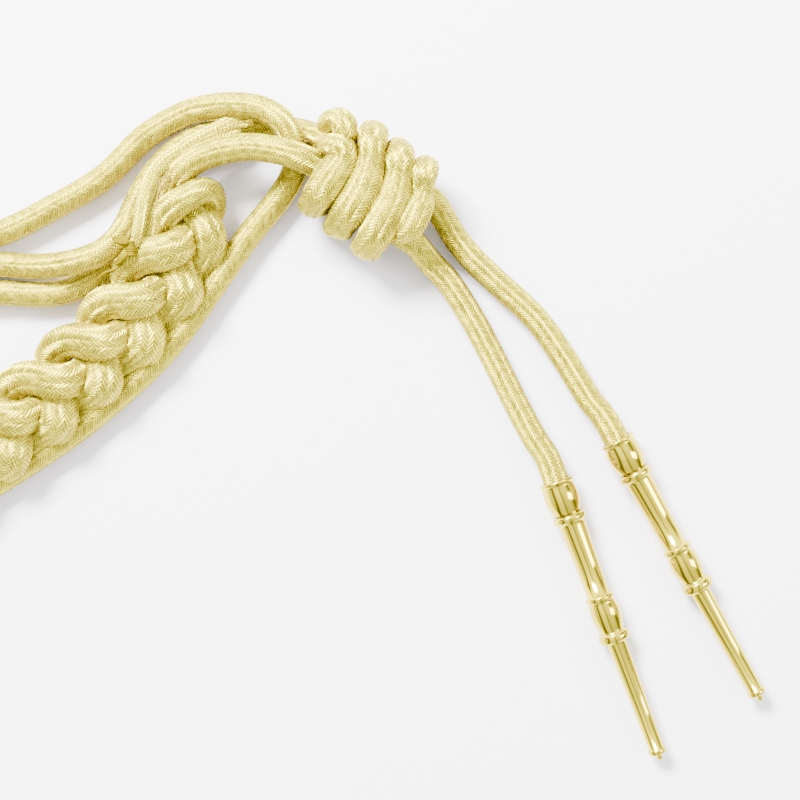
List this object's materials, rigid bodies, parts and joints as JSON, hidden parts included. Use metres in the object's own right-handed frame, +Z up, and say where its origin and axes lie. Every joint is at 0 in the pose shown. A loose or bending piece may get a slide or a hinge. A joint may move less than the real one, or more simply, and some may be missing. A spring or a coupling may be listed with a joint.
{
  "type": "aiguillette",
  "caption": "Plaited dress cord for a uniform shoulder, with loose loop cords, a wound knot and free cord ends in turned metal points.",
  "frame": {"origin": "on the table under the middle of the box round every piece except the free cords", "axes": "+X from the shoulder end towards the metal points, +Y away from the points, +Z up from the table it lies on"},
  "size_m": [0.312, 0.2006, 0.0212],
  "materials": {
    "gold_thread": "braided metallised gold thread",
    "gold_metal": "polished gilt",
    "yellow_thread": "plain sewing thread",
    "gold_cloth": "plain woven gold cloth"
  },
  "bodies": {
    "root": {"plait_strand_1": "gold_thread", "plait_strand_2": "gold_thread", "plait_strand_3": "gold_thread", "lead_cord_lower": "gold_thread", "lead_cord_upper": "gold_thread", "knot_wrap": "gold_thread", "leg_left": "gold_thread", "leg_right": "gold_thread", "ferrule_left": "gold_metal", "ferrule_right": "gold_metal", "loop_cord_outer": "gold_thread", "loop_cord_middle": "gold_thread", "loop_cord_inner": "gold_thread", "sheath_tape": "gold_thread", "cord_tail": "gold_thread", "tie_thread": "yellow_thread", "shoulder_binding": "gold_cloth", "shoulder_tab": "gold_cloth"}
  },
  "joints": []
}
